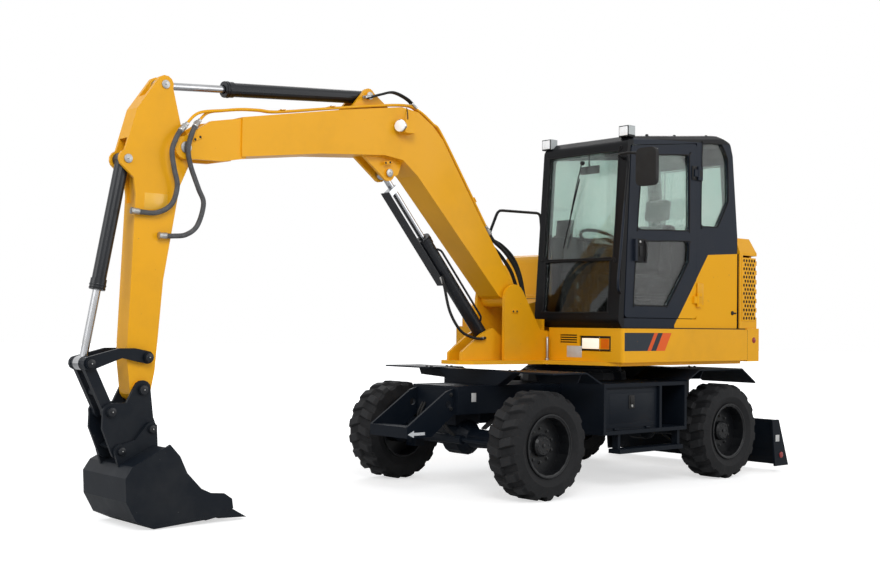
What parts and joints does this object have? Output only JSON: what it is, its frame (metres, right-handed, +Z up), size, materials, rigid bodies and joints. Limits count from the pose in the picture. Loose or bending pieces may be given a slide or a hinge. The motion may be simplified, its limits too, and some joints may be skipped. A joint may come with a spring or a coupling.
{
  "type": "wheeled excavator",
  "caption": "Wheeled excavator with a two-piece digging arm, bucket, glazed cab, slewing house, steered front wheels and a rear dozer blade.",
  "frame": {"origin": "on the ground, below the middle of the bounding box", "axes": "+X forward towards the bucket, +Y to the left (the cab side), +Z up"},
  "size_m": [6.553, 2.393, 3.1095],
  "materials": {
    "black_paint": "satin black",
    "body_paint": "glossy yellow-orange",
    "chassis_paint": "satin charcoal",
    "chrome": "polished rod",
    "glass": "green-tinted safety glass",
    "hose_rubber": "matte black",
    "rim_paint": "satin black",
    "seat_trim": "matte black",
    "tyre": "matte black rubber"
  },
  "bodies": {
    "arm": {"arm": "body_paint", "arm_hose_front": "hose_rubber", "arm_hose_rear": "hose_rubber"},
    "arm_barrel": {"arm_cylinder_barrel": "chassis_paint"},
    "arm_rod": {"arm_cylinder_rod": "chrome"},
    "blade_barrel": {"blade_cylinder_barrel": "chassis_paint"},
    "blade_rod": {"blade_cylinder_rod": "chrome"},
    "boom": {"boom": "body_paint", "boom_pipes": "body_paint", "foot_hoses": "hose_rubber"},
    "boom_barrel": {"boom_cylinder_barrel": "chassis_paint", "cylinder_hose": "hose_rubber"},
    "boom_rod": {"boom_cylinder_rod": "chrome"},
    "bucket": {"bucket": "chassis_paint", "quick_coupler": "chassis_paint"},
    "bucket_barrel": {"bucket_cylinder_barrel": "chassis_paint"},
    "bucket_rod": {"bucket_cylinder_rod": "chrome"},
    "door": {"cab_door": "black_paint", "door_glass_lower": "glass", "door_glass_upper": "glass"},
    "house": {"cab_shell": "black_paint", "counterweight": "body_paint", "engine_block": "chassis_paint", "engine_hood": "body_paint", "glass_rear": "glass", "glass_rear_left": "glass", "glass_right": "glass", "house_frame": "body_paint", "mirror_left": "black_paint", "operator_seat": "seat_trim", "right_hood": "body_paint", "skirt_left": "body_paint", "skirt_right": "body_paint", "steering_wheel": "black_paint", "windscreen_lower": "glass", "windscreen_upper": "glass"},
    "undercarriage": {"chassis_frame": "chassis_paint", "drive_line": "chassis_paint", "fenders_front": "chassis_paint", "fenders_rear": "chassis_paint", "front_axle": "chassis_paint", "front_step": "chassis_paint", "rear_axle": "chassis_paint", "side_box_left": "chassis_paint", "side_box_right": "chassis_paint", "steering_cylinder": "chassis_paint"},
    "blade": {"dozer_blade": "chassis_paint"},
    "steer_left": {"knuckle_left": "chassis_paint"},
    "steer_right": {"knuckle_right": "chassis_paint"},
    "push_link": {"push_link": "chassis_paint"},
    "wheel_front_left": {"rim_front_left": "rim_paint", "tyre_front_left": "tyre"},
    "wheel_front_right": {"rim_front_right": "rim_paint", "tyre_front_right": "tyre"},
    "wheel_rear_left": {"rim_rear_left": "rim_paint", "tyre_rear_left": "tyre"},
    "wheel_rear_right": {"rim_rear_right": "rim_paint", "tyre_rear_right": "tyre"},
    "rocker": {"rocker": "chassis_paint"},
    "steering_rod": {"steering_rod": "chrome"}
  },
  "joints": [
    {"name": "house_slew", "type": "hinge", "parent": "undercarriage", "child": "house", "pos_m": [-1.4115, -0.1935, 1.00499], "axis": [0, 0, 1], "continuous": true},
    {"name": "cab_door_swing", "type": "hinge", "parent": "house", "child": "door", "pos_m": [-1.8925, 0.7965, -0.00001], "axis": [0, 0, 1], "range_deg": [0, 95]},
    {"name": "boom_lift", "type": "hinge", "parent": "house", "child": "boom", "pos_m": [-0.4815, -0.1935, 1.54999], "axis": [0, -1, 0], "range_deg": [-45, 45], "deforming": ["foot_hoses"]},
    {"name": "arm_swing", "type": "hinge", "parent": "boom", "child": "arm", "pos_m": [2.5785, -0.1935, 2.48999], "axis": [0, 1, 0], "range_deg": [-58, 45], "deforming": ["arm_hose_front", "arm_hose_rear"]},
    {"name": "bucket_curl", "type": "hinge", "parent": "arm", "child": "bucket", "pos_m": [2.8585, -0.1935, 0.87999], "axis": [0, 1, 0], "range_deg": [-85, 60]},
    {"name": "boom_barrel_swing", "type": "hinge", "parent": "house", "child": "boom_barrel", "pos_m": [-0.2915, -0.1935, 1.21999], "axis": [0, -1, 0], "range_deg": [-42.92, 42.92], "deforming": ["cylinder_hose"]},
    {"name": "boom_rod_slide", "type": "slide", "parent": "boom_barrel", "child": "boom_rod", "axis": [0.651, 0, 0.759], "range_m": [-0.247, 0.247]},
    {"name": "arm_barrel_swing", "type": "hinge", "parent": "boom", "child": "arm_barrel", "pos_m": [1.0085, -0.1935, 3.04999], "axis": [0, 1, 0], "range_deg": [-1.55, 1.21]},
    {"name": "arm_rod_slide", "type": "slide", "parent": "arm_barrel", "child": "arm_rod", "axis": [0.9962, 0, -0.0874], "range_m": [-0.358, 0.2778]},
    {"name": "bucket_barrel_swing", "type": "hinge", "parent": "arm", "child": "bucket_barrel", "pos_m": [2.9785, -0.1935, 2.37999], "axis": [0, 1, 0], "range_deg": [-1.74, 1.23]},
    {"name": "bucket_rod_slide", "type": "slide", "parent": "bucket_barrel", "child": "bucket_rod", "axis": [0.1854, 0, -0.9827], "range_m": [-0.3492, 0.2465]},
    {"name": "rocker_swing", "type": "hinge", "parent": "arm", "child": "rocker", "pos_m": [2.8285, -0.1935, 1.08999], "axis": [0, 1, 0], "range_deg": [-62.9, 44.4]},
    {"name": "push_link_swing", "type": "hinge", "parent": "rocker", "child": "push_link", "pos_m": [3.2285, -0.1935, 1.05499], "axis": [0, 1, 0], "range_deg": [-22.3, 31.59]},
    {"name": "blade_lift", "type": "hinge", "parent": "undercarriage", "child": "blade", "pos_m": [-2.6415, -0.1935, 0.51999], "axis": [0, 1, 0], "range_deg": [-9, 35]},
    {"name": "blade_barrel_swing", "type": "hinge", "parent": "undercarriage", "child": "blade_barrel", "pos_m": [-2.7835, -0.1935, 0.77999], "axis": [0, 1, 0], "range_deg": [-6.3, 24.5]},
    {"name": "blade_rod_slide", "type": "slide", "parent": "blade_barrel", "child": "blade_rod", "axis": [-0.3895, 0, -0.921], "range_m": [-0.1595, 0.0411]},
    {"name": "steering_left", "type": "hinge", "parent": "undercarriage", "child": "steer_left", "pos_m": [-0.0615, 0.4265, 0.41499], "axis": [0, 0, 1], "range_deg": [-30, 30]},
    {"name": "steering_right", "type": "hinge", "parent": "undercarriage", "child": "steer_right", "pos_m": [-0.0615, -0.8135, 0.41499], "axis": [0, 0, 1], "range_deg": [-30, 30]},
    {"name": "steering_rod_slide", "type": "slide", "parent": "undercarriage", "child": "steering_rod", "axis": [0, 1, 0], "range_m": [-0.1016, 0.1016]},
    {"name": "wheel_front_left_spin", "type": "hinge", "parent": "steer_left", "child": "wheel_front_left", "pos_m": [-0.0615, 0.6565, 0.41499], "axis": [0, 1, 0], "continuous": true},
    {"name": "wheel_rear_left_spin", "type": "hinge", "parent": "undercarriage", "child": "wheel_rear_left", "pos_m": [-2.3615, 0.6565, 0.41499], "axis": [0, 1, 0], "continuous": true},
    {"name": "wheel_front_right_spin", "type": "hinge", "parent": "steer_right", "child": "wheel_front_right", "pos_m": [-0.0615, -1.0435, 0.41499], "axis": [0, 1, 0], "continuous": true},
    {"name": "wheel_rear_right_spin", "type": "hinge", "parent": "undercarriage", "child": "wheel_rear_right", "pos_m": [-2.3615, -1.0435, 0.41499], "axis": [0, 1, 0], "continuous": true}
  ],
  "couplings": [
    {"joint": "boom_barrel_swing", "follows": "boom_lift", "ratio": 0.93497},
    {"joint": "boom_rod_slide", "follows": "boom_lift", "m_per_rad": 0.30824},
    {"joint": "arm_barrel_swing", "follows": "arm_swing", "ratio": 0.02616},
    {"joint": "arm_rod_slide", "follows": "arm_swing", "m_per_rad": 0.34666},
    {"joint": "bucket_barrel_swing", "follows": "bucket_curl", "ratio": 0.02},
    {"joint": "bucket_rod_slide", "follows": "bucket_curl", "m_per_rad": 0.23069},
    {"joint": "rocker_swing", "follows": "bucket_curl", "ratio": 0.72541},
    {"joint": "push_link_swing", "follows": "bucket_curl", "ratio": -0.36433},
    {"joint": "blade_barrel_swing", "follows": "blade_lift", "ratio": 0.68615},
    {"joint": "blade_rod_slide", "follows": "blade_lift", "m_per_rad": -0.25588},
    {"joint": "steering_right", "follows": "steering_left", "ratio": 1},
    {"joint": "steering_rod_slide", "follows": "steering_left", "m_per_rad": 0.19}
  ]
}
